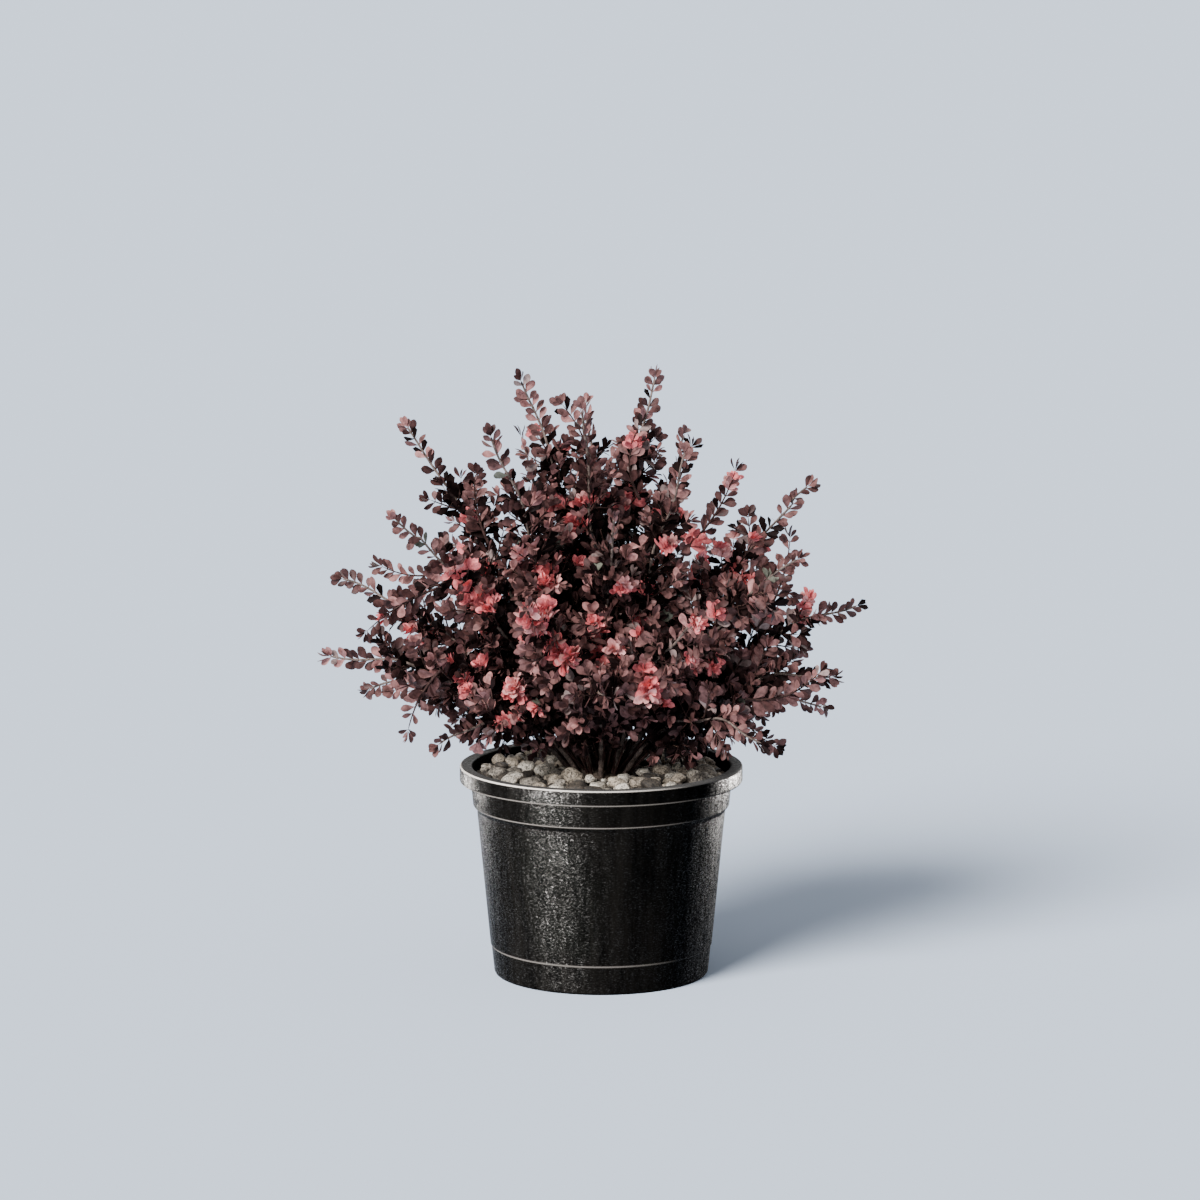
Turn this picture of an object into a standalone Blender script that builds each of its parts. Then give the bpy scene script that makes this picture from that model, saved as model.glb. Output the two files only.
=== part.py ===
"""Japanese barberry in a nursery pot: arching canes in leaf, rooted in compost under a gravel mulch.

Metres, +Z up. The origin is the middle of the pot's underside, +X is to the right and -Y to the front.
A bearing goes round the plant in degrees, from +X towards +Y.
"""

import math
import random

import bmesh
import bpy
import numpy as np
from mathutils import Matrix, Vector

MM = 0.001
GAP = 0.3 * MM  # clearance between two pieces that touch
SHARP_ANGLE = math.radians(35)  # round pieces are shaded smooth up to this

# The pot, a black nursery container of about eleven litres
POT_HEIGHT = 224 * MM
RIM_RADIUS = 150 * MM
RIM_DEPTH = 17 * MM
RIM_WIDTH = 13 * MM
COLLAR_RADIUS = 138.4 * MM
COLLAR_FOOT_RADIUS = 136 * MM
COLLAR_FOOT = 182 * MM
WALL_TOP_RADIUS = 132 * MM
WALL_TOP = 177 * MM
BAND_TOP = 31 * MM  # the moulded line round the foot
BAND_STEP = 0.9 * MM
BASE_RADIUS = 115 * MM
WALL = 2.2 * MM
FLOOR = 5 * MM  # height of the inside floor
UNDERSIDE_RECESS = 2.5 * MM
PAD_RADIUS = 40 * MM
FOOT_RING_WIDTH = 12 * MM
EDGE = 2 * MM
LEDGE_DEPTH = 11 * MM  # the stacking ledge inside the rim
POT_SIDES = 32
DRAIN_COUNT = 6
DRAIN_RADIUS = 8 * MM
DRAIN_CIRCLE = 72 * MM
DRAIN_SIDES = 8

# Compost, mulch and the woody stool that the canes rise from
COMPOST_TOP = 206 * MM
COMPOST_CROWN = 209 * MM  # it is mounded a little round the stool
MULCH_BED = 5 * MM
MULCH_INNER_RADIUS = 43 * MM
PEBBLE_COUNT = 34
PEBBLE_LENGTHS = (19 * MM, 28 * MM)
PEBBLE_SEED = 11
STOOL_RADIUS = 38 * MM
STOOL_HEIGHT = 15 * MM
STOOL_LOBES = 7
STOOL_SIDES = 21

# Canes, as (bearing in degrees, reach of the tip from the axis, height of the tip above the floor)
CANES = {
    "leader": (
        (196, 88 * MM, 640 * MM),
        (15, 60 * MM, 638 * MM),
        (250, 60 * MM, 612 * MM),
        (100, 84 * MM, 604 * MM),
    ),
    "upper": (
        (172, 212 * MM, 584 * MM),
        (224, 158 * MM, 591 * MM),
        (315, 128 * MM, 571 * MM),
        (8, 226 * MM, 520 * MM),
        (275, 150 * MM, 508 * MM),
        (62, 196 * MM, 560 * MM),
        (118, 190 * MM, 560 * MM),
    ),
    "middle": (
        (205, 238 * MM, 504 * MM),
        (168, 290 * MM, 415 * MM),
        (335, 228 * MM, 460 * MM),
        (12, 286 * MM, 388 * MM),
        (248, 218 * MM, 425 * MM),
        (296, 222 * MM, 405 * MM),
        (62, 262 * MM, 430 * MM),
        (132, 258 * MM, 440 * MM),
    ),
    "lower": (
        (188, 294 * MM, 347 * MM),
        (155, 286 * MM, 282 * MM),
        (350, 252 * MM, 325 * MM),
        (28, 280 * MM, 258 * MM),
        (222, 230 * MM, 268 * MM),
        (318, 228 * MM, 272 * MM),
        (270, 222 * MM, 335 * MM),
        (78, 268 * MM, 300 * MM),
        (106, 272 * MM, 292 * MM),
    ),
}
FOOT_SPACING = 5.6 * MM  # the canes' feet spread over the stool as seeds do in a sunflower
LEAST_RISE = 115 * MM
# Where a cane bends outwards, as shares of (its climb, its reach)
BENDS = {
    "leader": (0.60, 0.20),
    "upper": (0.52, 0.45),
    "middle": (0.52, 0.45),
    "lower": (0.52, 0.45),
}
FOOT_FLARE = 1.15
CANE_RADIUS = 3.0 * MM
ENTRY_RADIUS = 2.2 * MM  # where the bare cane enters its foliage
TIP_RADIUS = 1.1 * MM
ENTRY = 0.29  # share of a cane's length that is bare
CANE_SIDES = 5
CANE_STEPS = 4
SHOOT_STEPS = 5
ROUTE_STEPS = 24

# Foliage. Each modelled leaf stands for a rosette of the small real leaves.
NODE_SPACING = 31 * MM  # from one side twig to the next
TURN = math.radians(137.5)
LATERAL_LENGTH = 75 * MM
LATERAL_TAPER = 0.75  # share of that length that the side twigs lose towards the tip
SHORTEST_LATERAL = 24 * MM
TRIM = 5 * MM  # a side twig that would leave its space is shortened in these steps
LATERAL_LEAN = math.radians(48)
LATERAL_LIFT = 0.1
LATERAL_RADIUS = 1.7 * MM
SINK = 0.6 * MM  # how far beyond a twig's middle the root of a leaf goes
BARE_TIP = 0.72  # beyond this share of its foliage a shoot has leaves and no side twigs
BODY_LEAF = 42 * MM
TIP_LEAF = 25 * MM
LEAF_WIDTH = 0.60  # shares of a leaf's length
LEAF_WIDEST = 0.62
LEAF_THICKNESS = 0.045
LEAF_FOLD = 0.07
LEAF_DROOP = 0.08
LEAF_LEAN = math.radians(52)
CORE_START = 0.33  # shares of the cane's length
CORE_END = 0.80
CORE_RADIUS = 28 * MM
CORE_HOLLOW = 0.5  # depth of the dips between its points, as a share of its radius
CORE_MARGIN = 2 * MM
CORE_SIDES = 6
CORE_STEPS = 5
SPACE_MARGIN = 0.8 * MM
LIMB_CLEARANCE = 4.2 * MM
RIM_CLEARANCE = 6 * MM
FOLIAGE_SEED = 40

MATERIALS = {
    "pot_plastic": ((0.012, 0.012, 0.013), 0.42),
    "compost": ((0.030, 0.020, 0.014), 0.95),
    "river_gravel": ((0.42, 0.37, 0.30), 0.80),
    "old_bark": ((0.10, 0.070, 0.052), 0.85),
    "cane_bark": ((0.16, 0.085, 0.070), 0.70),
    "barberry_leaf": ((0.20, 0.045, 0.048), 0.55),
}


def clear_scene():
    for obj in list(bpy.data.objects):
        bpy.data.objects.remove(obj, do_unlink=True)


def material(name):
    """The Principled material of that name, made once."""
    made = bpy.data.materials.get(name)
    if made is None:
        colour, roughness = MATERIALS[name]
        made = bpy.data.materials.new(name)
        made.use_nodes = True
        shader = made.node_tree.nodes["Principled BSDF"]
        shader.inputs["Base Color"].default_value = (*colour, 1.0)
        shader.inputs["Roughness"].default_value = roughness
        shader.inputs["Metallic"].default_value = 0.0
    return made


def object_from(name, bm, material_name=None):
    """A scene object that holds a bmesh, with its normals facing out."""
    bmesh.ops.recalc_face_normals(bm, faces=bm.faces)
    mesh = bpy.data.meshes.new(name)
    bm.to_mesh(mesh)
    bm.free()
    mesh.shade_smooth()
    mesh.set_sharp_from_angle(angle=SHARP_ANGLE)
    if material_name:
        mesh.materials.append(material(material_name))
    obj = bpy.data.objects.new(name, mesh)
    bpy.context.scene.collection.objects.link(obj)
    return obj


def apply_boolean(obj, operation, solver="EXACT", other=None, collection=None):
    boolean = obj.modifiers.new("boolean", "BOOLEAN")
    boolean.operation = operation
    boolean.solver = solver
    if collection:
        boolean.operand_type = "COLLECTION"
        boolean.collection = collection
    else:
        boolean.object = other
    graph = bpy.context.evaluated_depsgraph_get()
    mesh = bpy.data.meshes.new_from_object(obj.evaluated_get(graph))
    obj.modifiers.clear()
    obj.data = mesh


def keep_largest_body(obj):
    """Drops the loose scraps and sealed hollows that a union leaves, which are the smaller islands."""
    bm = bmesh.new()
    bm.from_mesh(obj.data)
    bm.faces.ensure_lookup_table()
    islands = []
    unseen = set(range(len(bm.faces)))
    while unseen:
        island = [unseen.pop()]
        for index in island:
            edges = [edge for edge in bm.faces[index].edges if len(edge.link_faces) == 2]
            neighbours = {face.index for edge in edges for face in edge.link_faces}
            island.extend(neighbours & unseen)
            unseen -= neighbours
        islands.append(island)
    largest = max(islands, key=len)
    scraps = [bm.faces[index] for island in islands if island is not largest for index in island]
    bmesh.ops.delete(bm, geom=scraps, context="FACES")
    bm.to_mesh(obj.data)
    bm.free()


def fuse(name, pieces, material_name):
    """Joins overlapping closed pieces into one solid object."""
    body, *others = pieces
    helpers = bpy.data.collections.new(name + "_pieces")
    bpy.context.scene.collection.children.link(helpers)
    for other in others:
        helpers.objects.link(other)
    apply_boolean(body, "UNION", solver="MANIFOLD", collection=helpers)
    for other in others:
        bpy.data.objects.remove(other, do_unlink=True)
    bpy.data.collections.remove(helpers)
    keep_largest_body(body)
    body.name = name
    body.data.materials.clear()
    body.data.materials.append(material(material_name))
    return body


def arc(centre, radius, start, end, steps):
    """Points of a profile on an arc, in degrees anticlockwise from straight out."""
    turns = [math.radians(start + (end - start) * k / steps) for k in range(steps + 1)]
    return [(centre[0] + radius * math.cos(a), centre[1] + radius * math.sin(a)) for a in turns]


def turned(name, profile, sides, material_name=None):
    """Spins a closed profile of (radius, height) points round the vertical axis."""
    bm = bmesh.new()
    verts = [bm.verts.new((radius, 0, height)) for radius, height in profile]
    edges = [bm.edges.new(pair) for pair in zip(verts, verts[1:])]
    if profile[0][0] > 0:
        edges.append(bm.edges.new((verts[-1], verts[0])))
    bmesh.ops.spin(
        bm,
        geom=verts + edges,
        axis=(0, 0, 1),
        cent=(0, 0, 0),
        angle=math.tau,
        steps=sides,
        use_merge=True,
    )
    bmesh.ops.remove_doubles(bm, verts=bm.verts, dist=0.01 * MM)
    return object_from(name, bm, material_name)


def wall_radius(height):
    """Outer radius of the pot's plain wall, which tapers evenly from its top to its foot."""
    return BASE_RADIUS + (WALL_TOP_RADIUS - BASE_RADIUS) * height / WALL_TOP


def pot_inside(clearance):
    """The pot's inside from its floor to the ledge, as (radius, height), taken in by a clearance."""
    inset = WALL + clearance
    return [
        (wall_radius(FLOOR) - inset, FLOOR + clearance),
        (WALL_TOP_RADIUS - inset, WALL_TOP),
        (COLLAR_FOOT_RADIUS - inset, COLLAR_FOOT),
        (COLLAR_RADIUS - inset, POT_HEIGHT - LEDGE_DEPTH - EDGE),
    ]


def inside_radius(height, clearance):
    """The pot's inner radius at a height, less a clearance."""
    radii, heights = zip(*pot_inside(clearance))
    return float(np.interp(height, heights, radii))


def pot():
    rim_foot = POT_HEIGHT - RIM_DEPTH
    foot_inner = BASE_RADIUS - FOOT_RING_WIDTH
    underside = [
        (0, 0),
        (PAD_RADIUS, 0),
        (PAD_RADIUS + EDGE, UNDERSIDE_RECESS),
        (foot_inner - EDGE, UNDERSIDE_RECESS),
        (foot_inner, 0),
        (BASE_RADIUS - EDGE, 0),
        (BASE_RADIUS - BAND_STEP, EDGE),
    ]
    outside = [
        (wall_radius(BAND_TOP) - BAND_STEP, BAND_TOP - BAND_STEP),
        (wall_radius(BAND_TOP), BAND_TOP),
        (WALL_TOP_RADIUS, WALL_TOP),
        (COLLAR_FOOT_RADIUS, COLLAR_FOOT),
        (COLLAR_RADIUS, rim_foot),
    ]
    rim = arc((RIM_RADIUS - EDGE, rim_foot + EDGE), EDGE, -90, 0, 2)
    rim += arc((RIM_RADIUS - EDGE, POT_HEIGHT - EDGE), EDGE, 0, 90, 2)
    rim += arc((RIM_RADIUS - RIM_WIDTH + EDGE, POT_HEIGHT - EDGE), EDGE, 90, 180, 2)
    ledge = [(RIM_RADIUS - RIM_WIDTH, POT_HEIGHT - LEDGE_DEPTH)]
    inside = pot_inside(0)[::-1] + [(0, FLOOR)]
    body = turned("pot", underside + outside + rim + ledge + inside, POT_SIDES, "pot_plastic")
    for k in range(DRAIN_COUNT):
        bm = bmesh.new()
        bearing = math.tau * (k + 0.5) / DRAIN_COUNT
        place = Matrix.Rotation(bearing, 4, "Z") @ Matrix.Translation((DRAIN_CIRCLE, 0, FLOOR / 2))
        bmesh.ops.create_cone(
            bm,
            cap_ends=True,
            segments=DRAIN_SIDES,
            radius1=DRAIN_RADIUS,
            radius2=DRAIN_RADIUS,
            depth=3 * FLOOR,
            matrix=place,
        )
        cutter = object_from("drain_cutter", bm)
        apply_boolean(body, "DIFFERENCE", other=cutter)
        bpy.data.objects.remove(cutter, do_unlink=True)
    return body


def compost():
    """Fills the pot to the foot of the mulch."""
    floor_edge, *wall, _ = pot_inside(GAP)
    top = (inside_radius(COMPOST_TOP, GAP), COMPOST_TOP)
    mound = [(MULCH_INNER_RADIUS, COMPOST_CROWN), (0, COMPOST_CROWN)]
    profile = [(0, floor_edge[1]), floor_edge, *wall, top, *mound]
    return turned("compost", profile, POT_SIDES, "compost")


def pebble(rng, place, length):
    """A water-worn stone that rests on a place: a rounded block with its corners worn unevenly."""
    bm = bmesh.new()
    bmesh.ops.create_icosphere(bm, subdivisions=1, radius=length / 2)
    for vert in bm.verts:
        vert.co *= rng.uniform(0.88, 1.06)
    flat = Matrix.Diagonal((1.0, rng.uniform(0.68, 0.9), rng.uniform(0.46, 0.6), 1.0))
    turn = Matrix.Rotation(rng.uniform(0, math.tau), 4, "Z")
    tilt = Matrix.Rotation(rng.uniform(-0.25, 0.25), 4, "X")
    bmesh.ops.transform(bm, matrix=Matrix.Translation(place) @ turn @ tilt @ flat, verts=bm.verts)
    lift = place.z - min(vert.co.z for vert in bm.verts)
    bmesh.ops.translate(bm, vec=(0, 0, lift), verts=bm.verts)
    return object_from("pebble", bm)


def mulch():
    """A ring of gravel round the stool: pebbles spread evenly by the golden angle, set in a thin bed."""
    rng = random.Random(PEBBLE_SEED)
    bed_top = COMPOST_TOP + GAP + MULCH_BED
    outer = inside_radius(COMPOST_TOP, 2 * GAP)
    inner = MULCH_INNER_RADIUS
    rise = COMPOST_CROWN - COMPOST_TOP
    section = [
        (inner, COMPOST_CROWN + GAP),
        (outer, COMPOST_TOP + GAP),
        (outer, bed_top),
        (inner, bed_top + rise),
    ]
    pieces = [turned("mulch", section, POT_SIDES)]
    for k in range(PEBBLE_COUNT):
        length = rng.uniform(*PEBBLE_LENGTHS)
        share = (k + 0.5) / PEBBLE_COUNT
        nearest = inner + length / 2 + EDGE
        furthest = outer - length / 2 - EDGE
        radius = math.sqrt(nearest**2 + (furthest**2 - nearest**2) * share)
        bearing = k * TURN + rng.uniform(-0.1, 0.1)
        rest = COMPOST_CROWN + GAP + rng.uniform(0, 2) * MM
        place = Vector((radius * math.cos(bearing), radius * math.sin(bearing), rest))
        pieces.append(pebble(rng, place, length))
    return fuse("gravel_mulch", pieces, "river_gravel")


def stool(name, clearance=0.0, material_name=None):
    """The low woody crown at soil level, lobed where the canes' butts swell, grown by a clearance."""
    foot = COMPOST_CROWN + GAP - (MULCH_BED if clearance else 0)
    steps = 5
    bm = bmesh.new()
    rings = []
    for step in range(steps):
        share = step / steps
        radius = STOOL_RADIUS * math.cos(share * math.pi / 2) ** 0.7 + clearance
        height = COMPOST_CROWN + GAP + STOOL_HEIGHT * math.sin(share * math.pi / 2) + clearance
        ring = []
        for k in range(STOOL_SIDES):
            bearing = math.tau * k / STOOL_SIDES
            lobed = radius * (1 + 0.07 * math.cos(STOOL_LOBES * bearing))
            level = foot if step == 0 else height
            ring.append(bm.verts.new((lobed * math.cos(bearing), lobed * math.sin(bearing), level)))
        rings.append(ring)
    close_rings(bm, rings)
    return object_from(name, bm, material_name)


def close_rings(bm, rings):
    """Skins a stack of rings with equal corners, with a flat face over each end."""
    for lower, upper in zip(rings, rings[1:]):
        for k in range(len(lower)):
            bm.faces.new((lower[k - 1], lower[k], upper[k], upper[k - 1]))
    bm.faces.new(rings[0][::-1])
    bm.faces.new(rings[-1])


def spokes(points, sides):
    """For each point of a route, the unit directions that fan out square to it, turned with the route."""
    facing = Vector((0, 0, 1))
    wheel = [Matrix.Rotation(math.tau * k / sides, 3, "Z") @ Vector((1, 0, 0)) for k in range(sides)]
    turn = facing.rotation_difference(points[1] - points[0])
    fans = []
    for k in range(len(points)):
        ahead = points[min(k + 1, len(points) - 1)] - points[max(k - 1, 0)]
        turn = (turn @ facing).rotation_difference(ahead) @ turn
        fans.append([turn @ spoke for spoke in wheel])
    return fans


def limb(name, points, radii, sides, material_name=None):
    """A tapering limb: a ring of corners round each point of its route."""
    bm = bmesh.new()
    rings = []
    for point, radius, fan in zip(points, radii, spokes(points, sides)):
        rings.append([bm.verts.new(point + spoke * radius) for spoke in fan])
    close_rings(bm, rings)
    return object_from(name, bm, material_name)


class Cane:
    """One stem, on a curve that rises from the stool and then bends outwards to its furthest tip."""

    def __init__(self, name, bend, order, bearing, reach, height):
        self.name = name
        self.order = order
        out = Vector((math.cos(math.radians(bearing)), math.sin(math.radians(bearing)), 0))
        up = Vector((0, 0, 1))
        self.foot = out * FOOT_SPACING * math.sqrt(order + 0.5) + up * COMPOST_CROWN
        climb = height - COMPOST_CROWN
        rise = math.hypot(bend[0] * climb, LEAST_RISE)
        self.bend = out * reach * bend[1] + up * (COMPOST_CROWN + rise)
        self.tip = out * reach + up * height
        self.route = [self.at(k / ROUTE_STEPS) for k in range(ROUTE_STEPS + 1)]
        self.length = sum((b - a).length for a, b in zip(self.route, self.route[1:]))

    def at(self, share):
        first = self.foot.lerp(self.bend, share)
        second = self.bend.lerp(self.tip, share)
        return first.lerp(second, share)

    def direction(self, share):
        first = self.foot.lerp(self.bend, share)
        second = self.bend.lerp(self.tip, share)
        return (second - first).normalized()


def all_canes():
    rows = [(tier, k, row) for tier, rows in CANES.items() for k, row in enumerate(rows, 1)]
    return [Cane(f"{tier}_cane_{k}", BENDS[tier], order, *row) for order, (tier, k, row) in enumerate(rows)]


class Space:
    """The room of each cane's foliage: the points that are nearer to that cane than to any other."""

    def __init__(self, canes):
        routes = np.array([[tuple(p) for p in cane.route] for cane in canes])
        self.starts = routes[:, :-1]
        self.runs = routes[:, 1:] - routes[:, :-1]

    def distances(self, point):
        """How far a point is from each cane."""
        offset = np.array(point) - self.starts
        along = (offset * self.runs).sum(-1) / (self.runs**2).sum(-1)
        nearest = self.starts + self.runs * np.clip(along, 0, 1)[..., None]
        return np.linalg.norm(np.array(point) - nearest, axis=-1).min(-1)

    def holds(self, order, points):
        for point in points:
            away = self.distances(point)
            own = away[order]
            others = np.delete(away, order).min()
            beside_rim = math.hypot(point.x, point.y) < RIM_RADIUS + RIM_CLEARANCE
            if beside_rim and point.z < POT_HEIGHT + RIM_CLEARANCE:
                return False
            if others < max(own + SPACE_MARGIN, LIMB_CLEARANCE):
                return False
        return True


def bare_cane(cane, stool_cutter):
    """The leafless lower part of a cane, its foot cut to sit on the stool."""
    shares = [ENTRY * k / CANE_STEPS for k in range(CANE_STEPS + 1)]
    radii = [CANE_RADIUS + (ENTRY_RADIUS - CANE_RADIUS) * s / ENTRY for s in shares]
    radii[0] *= FOOT_FLARE
    body = limb(cane.name, [cane.at(s) for s in shares], radii, CANE_SIDES, "cane_bark")
    apply_boolean(body, "DIFFERENCE", other=stool_cutter)
    keep_largest_body(body)
    return body


def core(cane, space, rng):
    """The dense middle of a mass: a spindle of leafy points round the shoot, drawn in by its neighbours."""
    shares = [CORE_START + (CORE_END - CORE_START) * k / CORE_STEPS for k in range(CORE_STEPS + 1)]
    points = [cane.at(share) for share in shares]
    bm = bmesh.new()
    rings = []
    for k, (point, fan) in enumerate(zip(points, spokes(points, CORE_SIDES))):
        swell = max(math.sin(math.pi * k / CORE_STEPS) ** 0.6, 0.02)
        ring = []
        for c, spoke in enumerate(fan):
            hollow = CORE_HOLLOW if (c + k) % 2 else 1.0
            reach = CORE_RADIUS * swell * hollow * rng.uniform(0.85, 1.1)
            while reach > ENTRY_RADIUS:
                if space.holds(cane.order, [point + spoke * (reach + CORE_MARGIN)]):
                    break
                reach -= MM
            ring.append(bm.verts.new(point + spoke * reach))
        rings.append(ring)
    close_rings(bm, rings)
    return object_from("core", bm)


def leaf_corners(root, direction, face, length):
    """The six corners of a leaf: root, right, tip, left, and the middle of its upper and lower face."""
    side = face.cross(direction).normalized()
    face = direction.cross(side).normalized()
    middle = root + direction * length * LEAF_WIDEST * 0.9
    shoulder = root + direction * length * LEAF_WIDEST + face * length * LEAF_FOLD
    spread = side * length * LEAF_WIDTH / 2
    tip = root + direction * length - Vector((0, 0, LEAF_DROOP * length))
    thick = face * length * LEAF_THICKNESS / 2
    return [root, shoulder - spread, tip, shoulder + spread, middle + thick, middle - thick]


def leaf(corners):
    bm = bmesh.new()
    root, right, tip, left, upper, lower = [bm.verts.new(corner) for corner in corners]
    outline = [root, right, tip, left]
    for k in range(4):
        bm.faces.new((outline[k - 1], outline[k], upper))
        bm.faces.new((outline[k], outline[k - 1], lower))
    return object_from("leaf", bm)


def outward(direction, turn, lean):
    """The direction that leans off a shoot's own by an angle, turned round the shoot."""
    across = direction.orthogonal().normalized()
    across.rotate(Matrix.Rotation(turn, 3, direction))
    return direction * math.cos(lean) + across * math.sin(lean)


def facing_up(direction):
    """A leaf's upper face looks to the sky, or outwards on an upright leaf."""
    up = Vector((0, 0, 1))
    return (up - direction * up.dot(direction) * 0.9).normalized()


class Foliage:
    """A mass: a shoot with side twigs and leaves, which goes on from the end of its bare cane."""

    def __init__(self, cane, space, rng):
        self.cane = cane
        self.space = space
        self.rng = rng
        start = ENTRY + GAP / cane.length
        end = 1 - 0.8 * TIP_LEAF / cane.length
        steps = [k / SHOOT_STEPS for k in range(SHOOT_STEPS + 1)]
        radii = [ENTRY_RADIUS + (TIP_RADIUS - ENTRY_RADIUS) * step for step in steps]
        self.joints = [cane.at(start + (end - start) * step) for step in steps]
        self.length = (end - start) * cane.length
        self.pieces = [limb("shoot", self.joints, radii, 3), core(cane, space, rng)]

    def on_shoot(self, along):
        """The middle of the shoot at a share of its own length, and its heading there."""
        k = min(int(along * SHOOT_STEPS), SHOOT_STEPS - 1)
        here, ahead = self.joints[k : k + 2]
        return here.lerp(ahead, along * SHOOT_STEPS - k), (ahead - here).normalized()

    def add_leaf(self, root, direction, length):
        corners = leaf_corners(root - direction * SINK, direction, facing_up(direction), length)
        if self.space.holds(self.cane.order, corners[1:4]):
            self.pieces.append(leaf(corners))

    def add_lateral(self, root, direction, length):
        """A side twig with a leaf at its tip and one at each side, or only a leaf where there is no room."""
        while length > SHORTEST_LATERAL:
            if self.space.holds(self.cane.order, [root + direction * length]):
                break
            length -= TRIM
        if length <= SHORTEST_LATERAL:
            self.add_leaf(root, direction, BODY_LEAF)
            return
        tip = root + direction * length
        self.pieces.append(limb("twig", [root, tip], [LATERAL_RADIUS, TIP_RADIUS], 3))
        size = BODY_LEAF * self.rng.uniform(0.85, 1.1)
        self.add_leaf(tip - direction * 2 * MM, direction, size)
        for turn in (0.5 * math.pi, 1.5 * math.pi):
            aside = outward(direction, turn + self.rng.uniform(-0.5, 0.5), LEAF_LEAN)
            self.add_leaf(root + direction * length * self.rng.uniform(0.55, 0.8), aside, size)

    def add_leaf_pair(self, root, heading, turn):
        self.add_leaf(root, outward(heading, turn, LEAF_LEAN), TIP_LEAF)
        self.add_leaf(root + heading * 4 * MM, outward(heading, turn + math.pi, LEAF_LEAN), TIP_LEAF)

    def grow(self):
        """Goes up the shoot by the golden angle: side twigs, then pairs of leaves, then the tip leaf."""
        nodes = int(self.length / NODE_SPACING)
        turn = self.rng.uniform(0, math.tau)
        for k in range(nodes):
            along = (k + 0.5) / nodes
            root, heading = self.on_shoot(along)
            turn += TURN
            if along > BARE_TIP:
                self.add_leaf_pair(root, heading, turn)
                continue
            side = outward(heading, turn, LATERAL_LEAN) + Vector((0, 0, LATERAL_LIFT))
            length = LATERAL_LENGTH * (1 - LATERAL_TAPER * along) * self.rng.uniform(0.85, 1.15)
            self.add_lateral(root, side.normalized(), length)
        last, heading = self.on_shoot(1)
        self.add_leaf(last - heading * 2 * MM, (self.cane.tip - last).normalized(), TIP_LEAF)
        return fuse(self.cane.name.replace("cane", "foliage"), self.pieces, "barberry_leaf")


def main():
    clear_scene()
    pot()
    compost()
    mulch()
    stool("stool", material_name="old_bark")
    stool_cutter = stool("stool_cutter", clearance=GAP)
    canes = all_canes()
    space = Space(canes)
    for cane in canes:
        bare_cane(cane, stool_cutter)
        Foliage(cane, space, random.Random(FOLIAGE_SEED + cane.order)).grow()
    bpy.data.objects.remove(stool_cutter, do_unlink=True)


main()
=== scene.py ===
"""Looks of the potted Japanese barberry: bark, twigs, spines, leaves, gravel and a black nursery pot.

Metres, +Z up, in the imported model's frame: +X is to the right and -Y to the front.
A bearing goes round the plant in degrees, from +X towards +Y.
"""

import math
import random

import bmesh
import bpy
import numpy as np
from mathutils import Matrix, Vector

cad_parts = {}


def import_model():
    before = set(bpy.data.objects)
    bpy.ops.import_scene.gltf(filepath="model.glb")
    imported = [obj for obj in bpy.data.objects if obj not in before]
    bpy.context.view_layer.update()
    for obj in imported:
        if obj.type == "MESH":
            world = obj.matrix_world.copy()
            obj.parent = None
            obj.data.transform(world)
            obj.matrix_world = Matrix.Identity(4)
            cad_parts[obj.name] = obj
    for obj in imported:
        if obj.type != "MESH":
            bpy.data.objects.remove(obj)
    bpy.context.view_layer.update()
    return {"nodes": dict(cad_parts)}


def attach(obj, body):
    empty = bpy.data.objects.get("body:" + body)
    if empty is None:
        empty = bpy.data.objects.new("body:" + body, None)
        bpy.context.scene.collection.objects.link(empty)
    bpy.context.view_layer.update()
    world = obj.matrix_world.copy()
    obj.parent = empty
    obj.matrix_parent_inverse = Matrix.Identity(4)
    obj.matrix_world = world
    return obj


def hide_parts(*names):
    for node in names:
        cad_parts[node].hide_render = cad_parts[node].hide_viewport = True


MM = 0.001
UP = Vector((0, 0, 1))

# The camera, at the photograph's viewing angle
CAMERA_DISTANCE = 4.500
CAMERA_HEIGHT = 1.090
CAMERA_PITCH = math.radians(8.72)
CAMERA_LENS = 129.5
SENSOR = 36.0
FRAME_PIXELS = 1200
AXIS_PIXEL = 601.2  # the pot's axis, across the frame

# Lights: the way that each sun shines, its energy and its width in degrees, and an even sky
KEY_LIGHT = ((0.52, 0.68, -0.56), 6.9, 30)
FILL_LIGHT = ((-0.50, -0.80, -0.45), 2.8, 60)
SKY_COLOUR = (0.93, 0.97, 1.03, 1)
SKY_STRENGTH = 0.38
FLOOR_REACH = 300.0
FLOOR_COLOUR = (0.735, 0.84, 1.0, 1)

# Strip lights that fall on the pot alone, as (name, place, size, power)
POT_STRIPS = (
    ("strip_front", (-0.84, -0.94, 0.09), (0.13, 0.16), 950),
    ("strip_left", (-0.77, 0.64, 0.07), (0.09, 0.12), 36),
    ("strip_right", (0.77, 0.64, 0.07), (0.09, 0.12), 68),
)
STRIP_COLOUR = (1.0, 0.95, 0.90)

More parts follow.
